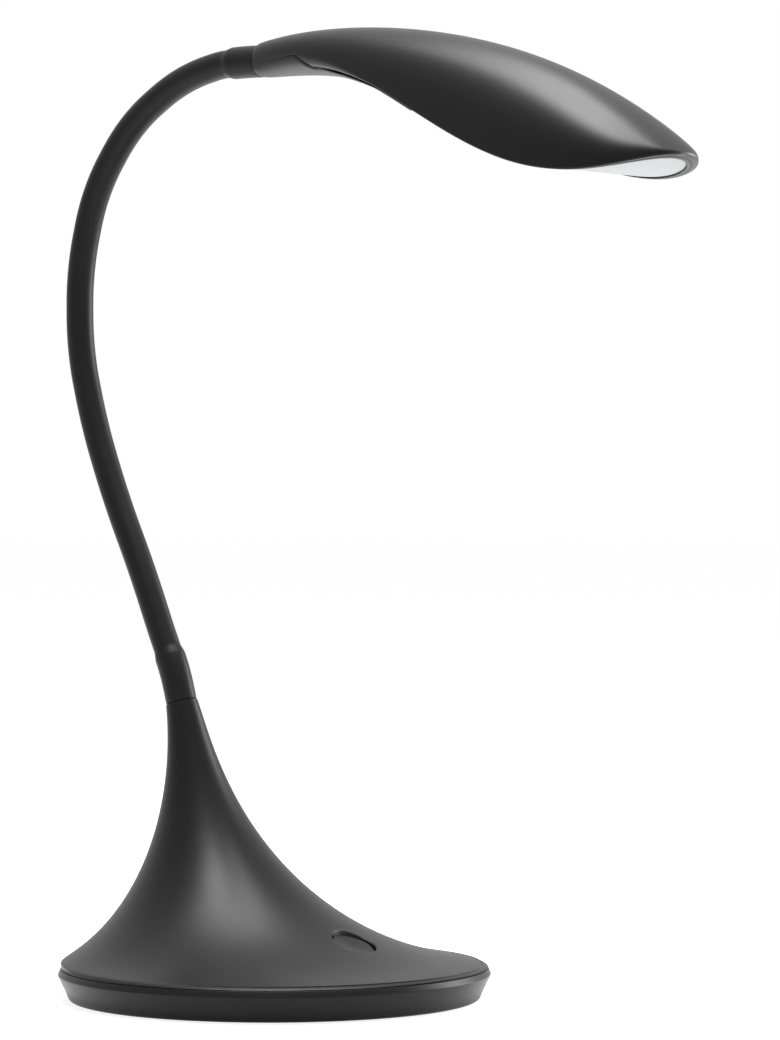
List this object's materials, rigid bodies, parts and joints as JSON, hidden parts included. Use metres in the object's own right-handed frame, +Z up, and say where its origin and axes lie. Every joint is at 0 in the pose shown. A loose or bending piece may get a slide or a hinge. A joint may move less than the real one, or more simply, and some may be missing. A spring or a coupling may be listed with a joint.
{
  "type": "gooseneck desk lamp",
  "caption": "Gooseneck desk lamp: weighted round base, trumpet-shaped cover with an oval push button, sleeved bending neck and a leaf-shaped head with a milky diffuser.",
  "frame": {"origin": "centre of the round base's underside, on the surface the lamp stands on", "axes": "+X to the front, where the push button is, +Y to the lamp's left, +Z up"},
  "size_m": [0.3107, 0.17, 0.3769],
  "materials": {
    "satin_black": "satin",
    "sleeve_black": "satin",
    "pad_rubber": "matt",
    "zinc_steel": "zinc plated",
    "core_steel": "bright wound wire",
    "brass": "bright",
    "board_green": "solder mask",
    "chip_black": "moulded",
    "plug_white": "moulded",
    "lead_jacket": "smooth jacket",
    "milk": "milky, translucent",
    "led_yellow": "phosphor",
    "lamp_board": "white solder mask on aluminium",
    "sink_alloy": "mill finish"
  },
  "bodies": {
    "base": {"foot_pad": "pad_rubber", "base_pan": "satin_black", "counterweight": "zinc_steel", "weight_screws": "zinc_steel", "base_cover": "satin_black", "cover_screws": "zinc_steel", "lower_ferrule": "zinc_steel", "ferrule_washer": "zinc_steel", "ferrule_nut": "brass", "control_board": "board_green", "board_parts": "chip_black", "board_screws": "zinc_steel", "push_switch": "chip_black", "dc_jack": "chip_black", "dc_jack_pin": "brass", "jack_lead": "chip_black", "lead_plug": "plug_white", "neck_sleeve_01": "sleeve_black", "neck_core_01": "core_steel", "neck_lead_01": "lead_jacket"},
    "button": {"button": "satin_black", "switch_plunger": "plug_white"},
    "neck_1": {"neck_sleeve_02": "sleeve_black", "neck_core_02": "core_steel", "neck_lead_02": "lead_jacket"},
    "neck_2": {"neck_sleeve_03": "sleeve_black", "neck_core_03": "core_steel", "neck_lead_03": "lead_jacket"},
    "neck_3": {"neck_sleeve_04": "sleeve_black", "neck_core_04": "core_steel", "neck_lead_04": "lead_jacket"},
    "neck_4": {"neck_sleeve_05": "sleeve_black", "neck_core_05": "core_steel", "neck_lead_05": "lead_jacket"},
    "neck_5": {"neck_sleeve_06": "sleeve_black", "neck_core_06": "core_steel", "neck_lead_06": "lead_jacket"},
    "neck_6": {"neck_sleeve_07": "sleeve_black", "neck_core_07": "core_steel", "neck_lead_07": "lead_jacket"},
    "neck_7": {"neck_sleeve_08": "sleeve_black", "neck_core_08": "core_steel", "neck_lead_08": "lead_jacket"},
    "neck_8": {"neck_sleeve_09": "sleeve_black", "neck_core_09": "core_steel", "neck_lead_09": "lead_jacket"},
    "head": {"neck_sleeve_10": "sleeve_black", "neck_core_10": "core_steel", "neck_lead_10": "lead_jacket", "upper_ferrule": "zinc_steel", "ferrule_clamp": "zinc_steel", "head_shell": "satin_black", "neck_cover": "satin_black", "bezel": "satin_black", "diffuser": "milk", "led_board": "lamp_board", "leds": "led_yellow", "heat_sink": "sink_alloy", "head_screws": "zinc_steel"}
  },
  "joints": [
    {"name": "neck_lower_bend", "type": "hinge", "parent": "base", "child": "neck_1", "pos_m": [-0.05974, 0.00174, 0.15034], "axis": [0.1219, 0.9925, 0], "range_deg": [-14, 14]},
    {"name": "neck_lower_lean", "type": "hinge", "parent": "neck_1", "child": "neck_2", "pos_m": [-0.07351, 0.00343, 0.17972], "axis": [-0.8828, 0.1084, -0.4571], "range_deg": [-14, 14]},
    {"name": "neck_lower_bend_2", "type": "hinge", "parent": "neck_2", "child": "neck_3", "pos_m": [-0.08723, 0.00511, 0.20912], "axis": [0.1219, 0.9925, 0], "range_deg": [-14, 14]},
    {"name": "neck_lower_lean_2", "type": "hinge", "parent": "neck_3", "child": "neck_4", "pos_m": [-0.09792, 0.00642, 0.23976], "axis": [-0.9578, 0.1176, -0.2622], "range_deg": [-14, 14]},
    {"name": "neck_upper_bend", "type": "hinge", "parent": "neck_4", "child": "neck_5", "pos_m": [-0.10274, 0.00702, 0.27178], "axis": [0.1219, 0.9925, 0], "range_deg": [-15, 12]},
    {"name": "neck_upper_turn", "type": "hinge", "parent": "neck_5", "child": "neck_6", "pos_m": [-0.09897, 0.00655, 0.30393], "axis": [-0.956, 0.1174, 0.2689], "range_deg": [-15, 15]},
    {"name": "neck_upper_bend_2", "type": "hinge", "parent": "neck_6", "child": "neck_7", "pos_m": [-0.08523, 0.00487, 0.33306], "axis": [0.1219, 0.9925, 0], "range_deg": [-15, 12]},
    {"name": "neck_upper_turn_2", "type": "hinge", "parent": "neck_7", "child": "neck_8", "pos_m": [-0.06154, 0.00196, 0.35476], "axis": [-0.4933, 0.0606, 0.8678], "range_deg": [-15, 15]},
    {"name": "neck_upper_bend_3", "type": "hinge", "parent": "neck_8", "child": "head", "pos_m": [-0.03164, -0.00171, 0.36645], "axis": [0.1219, 0.9925, 0], "range_deg": [-15, 12]},
    {"name": "button_press", "type": "slide", "parent": "base", "child": "button", "axis": [0, 0, -1], "range_m": [0, 0.0012], "stiffness_N_per_m": 600, "springref_m": -0.0008}
  ],
  "couplings": [
    {"joint": "neck_lower_bend_2", "follows": "neck_lower_bend", "ratio": 1},
    {"joint": "neck_lower_lean_2", "follows": "neck_lower_lean", "ratio": 1},
    {"joint": "neck_upper_bend_2", "follows": "neck_upper_bend", "ratio": 1},
    {"joint": "neck_upper_bend_3", "follows": "neck_upper_bend", "ratio": 1},
    {"joint": "neck_upper_turn_2", "follows": "neck_upper_turn", "ratio": 1}
  ]
}
